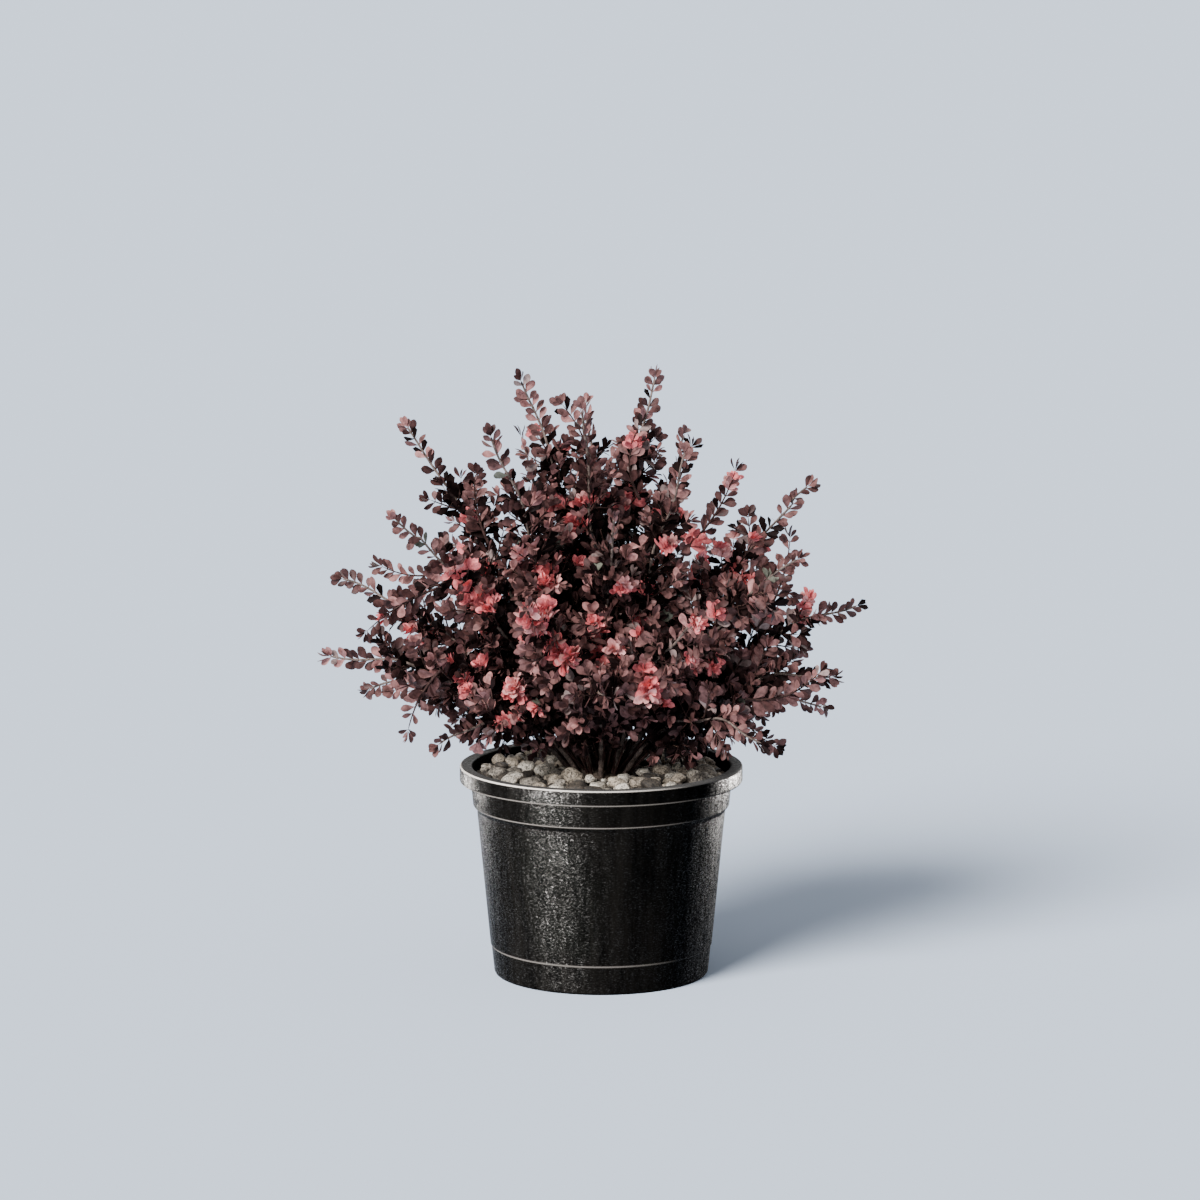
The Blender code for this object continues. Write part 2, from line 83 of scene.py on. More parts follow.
# Canes, as (bearing in degrees, reach of the tip from the axis in mm, height of the tip in mm)
CANES = {
    "leader": (
        (196, 88, 640),
        (15, 60, 638),
        (250, 60, 612),
        (100, 84, 604),
    ),
    "upper": (
        (172, 212, 584),
        (224, 158, 591),
        (315, 128, 571),
        (8, 226, 520),
        (275, 150, 508),
        (62, 196, 560),
        (118, 190, 560),
    ),
    "middle": (
        (205, 238, 504),
        (168, 290, 415),
        (335, 228, 460),
        (12, 286, 388),
        (248, 218, 425),
        (296, 222, 405),
        (62, 262, 430),
        (132, 258, 440),
    ),
    "lower": (
        (188, 294, 347),
        (155, 286, 282),
        (350, 252, 325),
        (28, 280, 258),
        (222, 230, 268),
        (318, 228, 272),
        (270, 222, 335),
        (78, 268, 300),
        (106, 272, 292),
    ),
}
SOIL = 209 * MM
FOOT_SPACING = 5.6 * MM
LEAST_RISE = 115 * MM
# Where a cane bends outwards, as shares of (its climb, its reach)
BENDS = {
    "leader": (0.60, 0.20),
    "upper": (0.52, 0.45),
    "middle": (0.52, 0.45),
    "lower": (0.52, 0.45),
}
ENTRY = 0.29  # share of a cane's length below its foliage
LOWEST_TWIG = ENTRY * 0.7  # share of a cane's length below its first side twig
CANE_RADIUS = 2.3 * MM
FOOT_SWELL = 1.15
ENTRY_RADIUS = 1.8 * MM
TIP_RADIUS = 1.0 * MM
TIP_LEAF = 7 * MM  # how far short of its tip a cane ends, for the leaves there
CANE_STEP = 3.5 * MM
CANE_SIDES = 12
STRAY = 2.2 * MM
CROWN_MIDDLE = Vector((0, 0, 0.30))
TURN = math.radians(137.5)

# Side twigs, and the finer ones on them
LATERAL_SPACING = 10 * MM
LATERAL_LENGTH = 66 * MM
LATERAL_TAPER = 0.75
LATERAL_LEAN = math.radians(48)
LATERAL_RADIUS = 1.2 * MM
BARE_TIP = 0.72
PLUME_FROM = 0.35  # side twigs further along a cane than this stand free, as plumes
PLUME_BARENESS = 0.5  # plumes have finer twigs along this share of their length only
SUBTWIG_SPACING = 12 * MM
SUBTWIG_LENGTH = 32 * MM
SUBTWIG_RADIUS = 0.7 * MM
TWIG_TIP_RADIUS = 0.5 * MM
TWIG_STEP = 6 * MM
TWIG_SIDES = 5
RIM_CLEARANCE = 4 * MM
GROWTH_SEED = 40

# Thin young stems between the canes
SUCKER_COUNT = 120
SUCKER_RING = (10 * MM, 33 * MM)
SUCKER_LENGTHS = (55 * MM, 140 * MM)
SUCKER_RADIUS = 1.2 * MM
SUCKER_LEAVES = (12 * MM, 11 * MM)
SUCKER_SHADES = (1.0, 2.4)  # darker than the rest, as painted shade low inside the crown

# Shorter shoots that stand free of the crown, as (the pixel of the photograph where it leaves the crown,
# the pixel where it ends, how far behind the axis it stands in mm)
FREE_SHOOTS = (
    ((585, 462), (562, 404), 0),
    ((640, 475), (640, 425), -20),
    ((668, 500), (691, 447), 10),
    ((700, 525), (735, 471), 30),
    ((484, 520), (475, 474), 0),
    ((440, 560), (381, 566), 20),
    ((423, 600), (366, 632), -40),
    ((767, 600), (790, 538), -30),
    ((770, 690), (820, 672), -60),
    ((430, 690), (408, 731), -50),
    ((745, 700), (776, 746), -40),
    ((755, 560), (790, 596), 20),
)

# Leaves, as lengths at a shoot's foot and tip, and spines
TWIG_LEAVES = (18.5 * MM, 13.5 * MM)
SHOOT_LEAVES = (19.5 * MM, 13.5 * MM)
TWIG_NODES = 8.6 * MM
SHOOT_NODES = 10 * MM
LEAF_WIDTH = 0.50
PIECE_LEAVES = 9500
LEAF_CURLS = (-0.04, 0.16)  # how far a leaf's tip bends down, as a share of its length
SIDE_LEAF_CHANCE = 0.72
LEAF_FOLD = 0.30  # how far a leaf's edges rise over its midrib, as a share of their distance from it
TUFT_LEAN = 0.6
SPINE_LENGTHS = (4 * MM, 8 * MM)
SPINE_RADIUS = 0.32 * MM
SPINE_LEAN = math.radians(80)

# Painted shade: a spray's tint darkens with the number of sprays that stand over it
SHADE_REACH = 11 * MM  # sprays this near to another's line out of the crown shade it
SHADE_FROM = 4 * MM  # and so far along that line, or further
FREE_COVER = 3  # how many sprays of its own shoot stand over a free shoot's spray
SKIRT = 330 * MM  # over the pot, leaves below this height get darker tints, as painted shade under the crown
SKIRT_FADE = 12 * MM

# Leaf tints, as (darker, lighter) linear base colours; the near-black one is painted shade, for leaves
# that other sprays cover
TINTS = {
    "deep": ((0.003, 0.0014, 0.0014), (0.016, 0.008, 0.0075)),
    "maroon": ((0.016, 0.0065, 0.006), (0.105, 0.046, 0.042)),
    "dusky": ((0.045, 0.019, 0.0175), (0.25, 0.118, 0.108)),
    "rose": ((0.13, 0.048, 0.044), (0.52, 0.245, 0.225)),
    "coral": ((0.33, 0.048, 0.056), (1.0, 0.29, 0.285)),
    "blush": ((0.38, 0.130, 0.125), (0.92, 0.46, 0.43)),
    "grey": ((0.11, 0.074, 0.068), (0.42, 0.295, 0.27)),
    "green": ((0.060, 0.060, 0.045), (0.18, 0.18, 0.14)),
}

# Barks, as (darker colour, lighter colour, scale of the patches)
BARKS = {
    "cane_bark": ((0.008, 0.005, 0.004), (0.34, 0.25, 0.21), 110),
    "twig_bark": ((0.010, 0.0045, 0.004), (0.105, 0.052, 0.044), 120),
    "spine": ((0.16, 0.080, 0.060), (0.33, 0.20, 0.15), 150),
    "old_bark": ((0.018, 0.013, 0.010), (0.11, 0.082, 0.062), 70),
}

# How often each tint comes in new growth and beside it, and elsewhere by how many sprays cover a spray:
# more cover gives darker tints, as painted shade
NEW_ODDS = {"coral": 7, "rose": 1, "blush": 2}
BESIDE_ODDS = {"grey": 4, "rose": 3, "dusky": 4}
DEEP_COVER = 11.5
COVER_ODDS = (
    (7.5, {"deep": 7, "maroon": 3, "dusky": 1}),
    (3.5, {"deep": 5.8, "maroon": 3.6, "dusky": 4.0, "rose": 2.1, "grey": 0.8, "green": 0.3}),
)
OPEN_ODDS = {"deep": 0.8, "maroon": 4.4, "dusky": 5.0, "rose": 1.8, "grey": 0.3}

# Clusters of bright new growth, as pixels of the photograph
LARGE_BRIGHT_PIXELS = ((478, 604), (543, 618), (564, 656), (602, 657), (643, 681), (510, 683))
SMALL_BRIGHT_PIXELS = (
    (461, 572), (450, 661), (518, 560), (541, 574), (551, 590), (526, 640), (660, 702),
    (530, 706), (510, 718), (468, 688), (489, 667), (685, 665), (713, 664), (698, 630),
    (719, 618), (644, 595), (637, 629), (620, 590), (576, 562), (577, 530), (583, 505),
    (560, 507), (620, 506), (631, 443), (664, 543), (725, 554), (600, 625),
)

# A cluster's reach, how many sprays of new growth it has, and how long their leaves are beside others'
LARGE_BRIGHT = (16 * MM, 9, 1.05)
SMALL_BRIGHT = (9 * MM, 4, 0.85)
NEW_LEAVES = 7  # leaves that a spray of new growth has besides its own
BRIGHT_TURNS = 3  # the front's pattern of clusters comes again round the back

# The pot
POT_HEIGHT = 224 * MM
RIM_RADIUS = 150 * MM
RIM_DEPTH = 17 * MM
RIM_WIDTH = 13 * MM
COLLAR_RADIUS = 138.4 * MM
COLLAR_FOOT_RADIUS = 136 * MM
COLLAR_FOOT = 182 * MM
WALL_TOP_RADIUS = 132 * MM
WALL_TOP = 177 * MM
BAND_TOP = 31 * MM
BAND_STEP = 0.9 * MM
BASE_RADIUS = 115 * MM
WALL = 2.2 * MM
FLOOR = 5 * MM
UNDERSIDE_RECESS = 2.5 * MM
PAD_RADIUS = 40 * MM
FOOT_RING_WIDTH = 12 * MM
EDGE = 2 * MM
LEDGE_DEPTH = 11 * MM
POT_SIDES = 192
PAINTED_LINE_HIGHLIGHT = 0.010  # how pale the painted highlights along the pot's moulded lines are
# the painted highlight along the rim's top edge
PAINTED_RIM_HIGHLIGHT = (0.070, 0.067, 0.064)
DRAIN_COUNT = 6
DRAIN_RADIUS = 8 * MM
DRAIN_CIRCLE = 72 * MM
POT_MIDDLE = Vector((0, 0, POT_HEIGHT / 2))

# Gravel
GRAVEL_OUTER = 133 * MM
GRAVEL_INNER = 40 * MM
GRAVEL_SEED = 8
STONE_TILT = 0.35
STONE_ODDS = {"pebble": (0.30, 0.34, 0.20, 0.16), "grit": (0.03, 0.10, 0.22, 0.65)}
STONE_TINTS = {
    "cream": ((0.30, 0.245, 0.185), (0.97, 0.88, 0.74)),
    "tan": ((0.13, 0.100, 0.074), (0.66, 0.55, 0.42)),
    "grey": ((0.06, 0.050, 0.040), (0.40, 0.345, 0.28)),
    "brown": ((0.020, 0.015, 0.012), (0.10, 0.078, 0.058)),
}

# Layers of stones, as (kind, how far they keep from the inner and the outer edge, tries to lay one,
# spacing, lengths in mm, heights of their middles in mm)
STONE_LAYERS = (
    ("pebble", 9 * MM, 13 * MM, 1500, 20 * MM, (17, 29), (215.5, 219)),
    ("pebble", 2 * MM, 7 * MM, 4000, 11.5 * MM, (10, 17), (213.0, 215.5)),
    ("grit", -4 * MM, 2 * MM, 5000, 4.6 * MM, (4, 7.5), (211.0, 213.5)),
)

# The woody crown
STOOL_RADIUS = 38 * MM
STOOL_HEIGHT = 15 * MM
STOOL_LOBES = 7
STOOL_SEED = 3

NO_QUADS = np.zeros((0, 4), dtype=np.int64)
NO_TRIANGLES = np.zeros((0, 3), dtype=np.int64)


def place_camera():
    """Looks at the pot's axis from the front, a little above."""
    camera = bpy.data.cameras.new("camera")
    camera.lens = CAMERA_LENS
    camera.sensor_width = SENSOR
    camera.shift_x = (FRAME_PIXELS / 2 - AXIS_PIXEL) / FRAME_PIXELS
    camera.clip_start = 0.01
    holder = bpy.data.objects.new("camera", camera)
    holder.location = (0, -CAMERA_DISTANCE, CAMERA_HEIGHT)
    holder.rotation_euler = (math.pi / 2 - CAMERA_PITCH, 0, 0)
    bpy.context.scene.collection.objects.link(holder)
    bpy.context.scene.camera = holder


def sight_line(pixel):
    """The direction in which the camera sees a pixel of its frame."""
    focal = CAMERA_LENS / SENSOR * FRAME_PIXELS
    across = (pixel[0] - AXIS_PIXEL) / focal
    down = (pixel[1] - FRAME_PIXELS / 2) / focal
    ahead = Vector((across, math.cos(CAMERA_PITCH), -math.sin(CAMERA_PITCH)))
    ahead -= Vector((0, math.sin(CAMERA_PITCH), math.cos(CAMERA_PITCH))) * down
    return ahead.normalized()


def photo_place(pixel, depth):
    """The place that a pixel of the photograph shows, at a distance behind the axis."""
    way = sight_line(pixel)
    return Vector((0, -CAMERA_DISTANCE, CAMERA_HEIGHT)) + way * ((CAMERA_DISTANCE + depth) / way.y)


def add_strip(name, place, size, power, receivers):
    """A soft rectangular light that faces the pot, falls on it alone and stays out of sight itself."""
    light = bpy.data.lights.new(name, "AREA")
    light.shape = "RECTANGLE"
    light.size, light.size_y = size
    light.energy = power
    light.color = STRIP_COLOUR
    holder = bpy.data.objects.new(name, light)
    holder.location = place
    holder.rotation_euler = (POT_MIDDLE - Vector(place)).to_track_quat("-Z", "Y").to_euler()
    holder.visible_camera = False
    holder.light_linking.receiver_collection = receivers
    bpy.context.scene.collection.objects.link(holder)


def collection_of(name, objects):
    collection = bpy.data.collections.new(name)
    for member in objects:
        collection.objects.link(member)
    return collection


def add_sun(name, way, energy, angle):
    """A distant soft light that shines along a way."""
    light = bpy.data.lights.new(name, "SUN")
    light.energy = energy
    light.angle = math.radians(angle)
    holder = bpy.data.objects.new(name, light)
    holder.rotation_euler = Vector(way).to_track_quat("-Z", "Y").to_euler()
    bpy.context.scene.collection.objects.link(holder)
    return holder


def light_studio(pot):
    """A large soft key light, a weak fill on the plant from behind, an even sky and the pot's strips."""
    world = bpy.data.worlds.new("studio")
    world.use_nodes = True
    background = world.node_tree.nodes["Background"]
    background.inputs["Color"].default_value = SKY_COLOUR
    background.inputs["Strength"].default_value = SKY_STRENGTH
    bpy.context.scene.world = world
    add_sun("key", *KEY_LIGHT)
    pieces = [piece for piece in bpy.data.objects if piece.type == "MESH" and piece.name != "floor"]
    fill = add_sun("fill", *FILL_LIGHT)
    fill.light_linking.receiver_collection = collection_of("filled", pieces)
    glossed = collection_of("glossed", [pot])
    for strip in POT_STRIPS:
        add_strip(*strip, glossed)


def lay_floor():
    """A pale floor that goes on past the edges of the view."""
    sides = ((-1, -1), (1, -1), (1, 1), (-1, 1))
    corners = [(x * FLOOR_REACH, y * FLOOR_REACH, 0) for x, y in sides]
    floor = mesh_object("floor", corners, [(0, 1, 2, 3)])
    shader = Shader("floor_paint")
    shader.set(base_color=FLOOR_COLOUR, roughness=0.95, specular_ior_level=0.0)
    paint(floor, shader.material)


class Shader:
    """A Principled material whose colour, roughness and bump come from small node graphs."""

    def __init__(self, name):
        self.material = bpy.data.materials.new(name)
        self.material.use_nodes = True
        self.nodes = self.material.node_tree.nodes
        self.links = self.material.node_tree.links
        self.principled = self.nodes["Principled BSDF"]
        self.place = self.nodes.new("ShaderNodeTexCoord").outputs["Object"]

    def set(self, **values):
        for name, value in values.items():
            title = name.replace("_", " ").title().replace("Ior", "IOR")
            self.principled.inputs[title].default_value = value

    def stretched(self, scale):
        """The object's coordinates, scaled apart along each axis."""
        mapping = self.nodes.new("ShaderNodeMapping")
        mapping.inputs["Scale"].default_value = scale
        self.links.new(self.place, mapping.inputs["Vector"])
        return mapping.outputs["Vector"]

    def noise(self, scale, detail=4, roughness=0.6, stretch=None):
        node = self.nodes.new("ShaderNodeTexNoise")
        node.inputs["Scale"].default_value = scale
        node.inputs["Detail"].default_value = detail
        node.inputs["Roughness"].default_value = roughness
        self.links.new(self.stretched(stretch) if stretch else self.place, node.inputs["Vector"])
        return node.outputs["Fac"]

    def ramp(self, factor, stops):
        """Colours or grey levels by factor, as (position, value) stops."""
        node = self.nodes.new("ShaderNodeValToRGB")
        elements = node.color_ramp.elements
        while len(elements) < len(stops):
            elements.new(0.5)
        for element, (position, value) in zip(elements, stops):
            element.position = position
            element.color = (*value, 1) if isinstance(value, tuple) else (value, value, value, 1)
        self.links.new(factor, node.inputs["Fac"])
        return node.outputs["Color"]

    def height(self, top):
        """How high a point is on the object, from 0 at its foot to 1 at its top."""
        split = self.nodes.new("ShaderNodeSeparateXYZ")
        self.links.new(self.place, split.inputs["Vector"])
        share = self.nodes.new("ShaderNodeMath")
        share.operation = "DIVIDE"
        share.inputs[1].default_value = top
        self.links.new(split.outputs["Z"], share.inputs[0])
        return share.outputs["Value"]

    def mix(self, blend, first, second):
        node = self.nodes.new("ShaderNodeMix")
        node.data_type = "RGBA"
        node.blend_type = blend
        node.inputs["Factor"].default_value = 1.0
        self.links.new(first, node.inputs["A"])
        self.links.new(second, node.inputs["B"])
        return node.outputs["Result"]

    def link(self, output, name):
        self.links.new(output, self.principled.inputs[name])

    def bump(self, height, distance, strength=1.0):
        node = self.nodes.new("ShaderNodeBump")
        node.inputs["Distance"].default_value = distance
        node.inputs["Strength"].default_value = strength
        self.links.new(height, node.inputs["Height"])
        self.links.new(node.outputs["Normal"], self.principled.inputs["Normal"])


def leaf_material(tint):
    """A satin leaf: the tint's two colours mottle into each other, over fine raised veins."""
    dark, light = TINTS[tint]
    shader = Shader("leaf_" + tint)
    shader.link(shader.ramp(shader.noise(105, 5, 0.65), [(0.33, dark), (0.66, light)]), "Base Color")
    shader.link(shader.ramp(shader.noise(240, 3), [(0.3, 0.36), (0.7, 0.58)]), "Roughness")
    shader.set(specular_ior_level=0.03 if tint == "deep" else 0.14)
    shader.bump(shader.noise(900, 4), 0.25 * MM, 0.5)
    return shader.material


def bark_material(name):
    """Ridged bark: fine cracks over broad patches."""
    dark, light, scale = BARKS[name]
    shader = Shader(name)
    patches = shader.ramp(shader.noise(scale, 6, 0.7), [(0.30, dark), (0.72, light)])
    cracks = shader.ramp(shader.noise(scale * 7, 5, 0.75, (1, 1, 0.25)), [(0.36, 0.30), (0.55, 1.0)])
    shader.link(shader.mix("MULTIPLY", patches, cracks), "Base Color")
    shader.link(shader.ramp(shader.noise(scale * 3), [(0.3, 0.55), (0.7, 0.85)]), "Roughness")
    shader.set(specular_ior_level=0.12)
    shader.bump(shader.noise(scale * 6, 6, 0.7, (1, 1, 0.3)), 0.5 * MM, 0.7)
    return shader.material


def pot_material():
    """Black moulded plastic: a fine stipple catches the light, and pale lines painted along its moulded
    edges and its rim's top stand in for highlights.
    """
    shader = Shader("pot_plastic")
    colours = [(0.35, (0.00005, 0.00005, 0.00005)), (0.75, (0.0004, 0.00038, 0.00035))]
    plain = shader.ramp(shader.noise(60, 6, 0.7, (1, 1, 0.07)), colours)
    # painted highlights: pale lines at the moulded edges and the rim's top, added to the plain black
    worn = shader.ramp(shader.height(POT_HEIGHT), painted_highlight_stops())
    shader.link(shader.mix("ADD", plain, worn), "Base Color")
    grains = [(0.48, 0.001), (0.58, 0.05), (0.66, 0.44)]
    stipple = shader.ramp(shader.noise(380, 6, 0.85, (1, 1, 2.0)), grains)
    strokes = shader.ramp(shader.noise(190, 5, 0.75, (1, 1, 0.06)), [(0.40, 0.30), (0.58, 1.0)])
    foot = COLLAR_FOOT / POT_HEIGHT
    collar = shader.ramp(shader.height(POT_HEIGHT), [(foot - 0.01, 1.0), (foot + 0.01, 0.45)])
    gloss = shader.mix("MULTIPLY", shader.mix("MULTIPLY", stipple, strokes), collar)
    shader.link(gloss, "Specular IOR Level")
    shader.link(shader.ramp(shader.noise(150, 4, 0.7), [(0.3, 0.36), (0.7, 0.25)]), "Roughness")
    shader.bump(shader.noise(420, 5, 0.7, (1, 1, 1.8)), 0.4 * MM, 0.7)
    return shader.material


def painted_highlight_stops():
    """Colour stops up the pot's height for painted highlights: pale only at its moulded lines and on its
    rim's top.
    """
    stops = [(0.0, (0.0, 0.0, 0.0))]
    for height in (BAND_TOP, COLLAR_FOOT, POT_HEIGHT - RIM_DEPTH + EDGE / 2):
        for offset, level in ((-0.9 * MM, 0.0), (-0.2 * MM, PAINTED_LINE_HIGHLIGHT), (0.2 * MM, PAINTED_LINE_HIGHLIGHT), (0.9 * MM, 0.0)):
            stops.append(((height + offset) / POT_HEIGHT, (level, level * 0.96, level * 0.92)))
    stops.append((1 - 1.6 * MM / POT_HEIGHT, (0.0, 0.0, 0.0)))
    stops.append((1 - 0.5 * MM / POT_HEIGHT, PAINTED_RIM_HIGHLIGHT))
    return stops


def stone_material(tint):
    """Water-worn stone: clouds of colour, with dark specks and pits."""
    dark, light = STONE_TINTS[tint]
    shader = Shader("stone_" + tint)
    clouds = shader.ramp(shader.noise(110, 7, 0.7), [(0.34, dark), (0.62, light)])
    specks = shader.ramp(shader.noise(520, 6, 0.75), [(0.42, 0.12), (0.54, 1.0)])
    shader.link(shader.mix("MULTIPLY", clouds, specks), "Base Color")
    shader.link(shader.ramp(shader.noise(90), [(0.3, 0.6), (0.7, 0.9)]), "Roughness")
    shader.bump(shader.noise(360, 7, 0.7), 1.0 * MM, 0.9)
    return shader.material


def compost_material():
    """Dark crumbly compost."""
    shader = Shader("compost")
    colours = [(0.3, (0.006, 0.004, 0.003)), (0.6, (0.022, 0.015, 0.011)), (0.8, (0.07, 0.05, 0.035))]
    shader.link(shader.ramp(shader.noise(260, 8, 0.75), colours), "Base Color")
    shader.set(roughness=0.95)
    shader.bump(shader.noise(320, 8, 0.8), 2.5 * MM, 1.0)
    return shader.material


def mesh_object(name, points, faces, smooth=False):
    mesh = bpy.data.meshes.new(name)
    mesh.from_pydata([tuple(p) for p in points], [], [tuple(f) for f in faces])
    return finish_mesh(name, mesh, smooth)


def array_object(name, points, quads, triangles, smooth=True):
    """A joined mesh from arrays of points, four-cornered faces and three-cornered faces."""
    mesh = bpy.data.meshes.new(name)
    mesh.vertices.add(len(points))
    mesh.vertices.foreach_set("co", np.ascontiguousarray(points, dtype=np.float32).ravel())
    corners = np.concatenate([quads.ravel(), triangles.ravel()])
    sizes = np.concatenate([np.full(len(quads), 4), np.full(len(triangles), 3)])
    mesh.loops.add(len(corners))
    mesh.loops.foreach_set("vertex_index", corners.astype(np.int32))
    mesh.polygons.add(len(sizes))
    starts = np.concatenate([[0], np.cumsum(sizes)[:-1]])
    mesh.polygons.foreach_set("loop_start", starts.astype(np.int32))
    mesh.update(calc_edges=True)
    return finish_mesh(name, mesh, smooth)


def finish_mesh(name, mesh, smooth):
    mesh.validate()
    if smooth:
        mesh.shade_smooth()
    piece = bpy.data.objects.new(name, mesh)
    bpy.context.scene.collection.objects.link(piece)
    return piece


def paint(piece, material):
    piece.data.materials.clear()
    piece.data.materials.append(material)


def stand_in(piece, slot, *nodes):
    """The piece rides on the plant and shows in place of these solids."""
    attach(piece, "root")
    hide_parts(*nodes)


class Cane:
    """One stem, on a curve that rises from the stool and then bends outwards to its furthest tip."""

    def __init__(self, bend, order, bearing, reach, height):
        out = Vector((math.cos(math.radians(bearing)), math.sin(math.radians(bearing)), 0))
        self.foot = out * FOOT_SPACING * math.sqrt(order + 0.5) + UP * SOIL
        rise = math.hypot(bend[0] * (height - SOIL), LEAST_RISE)
        self.bend = out * reach * bend[1] + UP * (SOIL + rise)
        self.tip = out * reach + UP * height
        route = [self.at(k / 24) for k in range(25)]
        self.length = sum((b - a).length for a, b in zip(route, route[1:]))

    def at(self, share):
        first = self.foot.lerp(self.bend, share)
        second = self.bend.lerp(self.tip, share)
        return first.lerp(second, share)

    def direction(self, share):
        first = self.foot.lerp(self.bend, share)
        second = self.bend.lerp(self.tip, share)
        return (second - first).normalized()


def outward(direction, turn, lean):
    """The direction that leans off a shoot's own by an angle, turned round the shoot."""
    across = direction.orthogonal().normalized()
    across.rotate(Matrix.Rotation(turn, 3, direction))
    return direction * math.cos(lean) + across * math.sin(lean)


def outside(point):
    """The way out of the crown at a point."""
    return (point - CROWN_MIDDLE).normalized()


def clear_of_rim(point):
    beside = math.hypot(point.x, point.y) < RIM_RADIUS + RIM_CLEARANCE
    return not (beside and point.z < POT_HEIGHT + RIM_CLEARANCE)


def overhung(sprays):
    """For each spray, how many others shade it: those that stand close to its line out of the crown."""
    roots = np.array([tuple(spray.root) for spray in sprays], dtype=np.float32)
    ways = np.array([tuple(outside(spray.root)) for spray in sprays], dtype=np.float32)
    counts = []
    for root, way in zip(roots, ways):
        offsets = roots - root
        ahead = offsets @ way
        aside = (offsets * offsets).sum(1) - ahead * ahead
        counts.append(np.count_nonzero((ahead > SHADE_FROM) & (aside < SHADE_REACH**2)))
    return counts


# How new a spray is
OLD, BESIDE_NEW, NEW = range(3)


class Spray:
    """A short shoot with a few leaves that share a length. A high shade makes them darker."""

    def __init__(self, root, heading, ways, face, length, shade, free=False):
        self.root = root
        self.heading = heading
        self.ways = ways
        self.face = face
        self.length = length
        self.shade = shade
        self.free = free
        self.growth = OLD
        self.swell = 1.0
        self.overhung = 0


class Growth:
    """Everything that the canes bear: twigs, spines and sprays of leaves."""

    def __init__(self):
        self.rng = random.Random(GROWTH_SEED)
        self.canes = []
        self.twigs = []
        self.spines = []
        self.sprays = []
        rows = [(BENDS[tier], *row) for tier, rows in CANES.items() for row in rows]
        for order, (bend, bearing, reach, height) in enumerate(rows):
            self.grow_cane(Cane(bend, order, bearing, reach * MM, height * MM))
        for foot, tip, depth in FREE_SHOOTS:
            self.grow_free_shoot(photo_place(foot, depth * MM), photo_place(tip, depth * MM))
        for order in range(SUCKER_COUNT):
            self.grow_sucker(order)

    def grow_cane(self, cane):
        steps = int(cane.length / CANE_STEP)
        end = 1 - TIP_LEAF / cane.length
        shares = [end * k / steps for k in range(steps + 1)]
        points = self.strayed(cane, shares)
        radii = np.interp(shares, [0, ENTRY, end], [CANE_RADIUS * FOOT_SWELL, ENTRY_RADIUS, TIP_RADIUS])
        self.canes.append((points, list(radii)))
        turn = self.rng.uniform(0, math.tau)
        start = LOWEST_TWIG
        count = int(cane.length * (end - start) / LATERAL_SPACING)
        for k in range(int(count * BARE_TIP)):
            along = (k + 0.5) / count
            turn += TURN
            share = start + (end - start) * along
            side = outward(cane.direction(share), turn, LATERAL_LEAN) + UP * 0.1
            length = LATERAL_LENGTH * (1 - LATERAL_TAPER * along) * self.rng.uniform(0.6, 1.2)
            self.grow_lateral(cane.at(share), side.normalized(), length, along > PLUME_FROM)
        bare = int(steps * (start + (end - start) * (BARE_TIP - 0.1)))
        self.leaf_twig(points[int(steps * start) : bare], TWIG_LEAVES, self.rng.random())
        self.leaf_shoot(points[bare:], self.rng.uniform(0.2, 1.0))

    def add_twig(self, points, radius):
        self.twigs.append((points, list(np.linspace(radius, TWIG_TIP_RADIUS, len(points)))))

    def strayed(self, cane, shares):
        """The cane's line, which strays a little from side to side where it is in leaf."""
        strays = [self.rng.uniform(0, math.tau) for _ in range(2)]
        points = []
        for share in shares:
            ahead = cane.direction(share)
            across = ahead.orthogonal().normalized()
            over = ahead.cross(across)
            swing = STRAY * min(max(share - ENTRY, 0) * 4, 1)
            offset = across * math.sin(strays[0] + 21 * share) + over * math.sin(strays[1] + 17 * share)
            points.append(cane.at(share) + offset * swing)
        return points

    def twig_points(self, root, direction, length):
        """A twig's route, which wanders a little and turns up to the light."""
        steps = max(2, int(length / TWIG_STEP))
        drift = Vector([self.rng.uniform(-0.2, 0.2) for _ in range(3)]) + UP * self.rng.uniform(0, 0.15)
        points = [root]
        for k in range(steps):
            direction = (direction + drift / steps).normalized()
            points.append(points[-1] + direction * length / steps)
        while len(points) > 2 and not clear_of_rim(points[-1]):
            points.pop()
        return points, direction

    def grow_lateral(self, root, side, length, free):
        points, heading = self.twig_points(root, side, length)
        if not clear_of_rim(points[-1]):
            return
        shade = self.rng.random()
        self.add_twig(points, LATERAL_RADIUS)
        if free:
            self.leaf_shoot(points, shade)
        else:
            self.leaf_twig(points, TWIG_LEAVES, shade)
        turn = self.rng.uniform(0, math.tau)
        for k in range(int(length * (PLUME_BARENESS if free else 1.0) / SUBTWIG_SPACING)):
            turn += TURN
            along = (k + 0.6) * SUBTWIG_SPACING / length
            start = points[min(int(along * len(points)), len(points) - 2)]
            reach = SUBTWIG_LENGTH * (1 - 0.5 * along) * self.rng.uniform(0.6, 1.15)
            self.grow_subtwig(start, outward(heading, turn, LATERAL_LEAN), reach, shade)

    def grow_subtwig(self, root, side, length, shade):
        points, _ = self.twig_points(root, side, length)
        if clear_of_rim(points[-1]):
            self.add_twig(points, SUBTWIG_RADIUS)
            self.leaf_twig(points, TWIG_LEAVES, shade)

    def grow_free_shoot(self, foot, tip):
        """A shoot that bows a little on its way from inside the crown to a tip outside it."""
        root = foot + (foot - tip) * 0.5
        bow = (tip - root).cross(Vector((0, 1, 0))) * self.rng.uniform(-0.16, 0.16)
        steps = int((tip - root).length / TWIG_STEP)
        shares = [k / steps for k in range(steps + 1)]
        points = [root.lerp(tip, share) + bow * 4 * share * (1 - share) for share in shares]
        self.add_twig(points, ENTRY_RADIUS)
        self.leaf_shoot(points, self.rng.random())

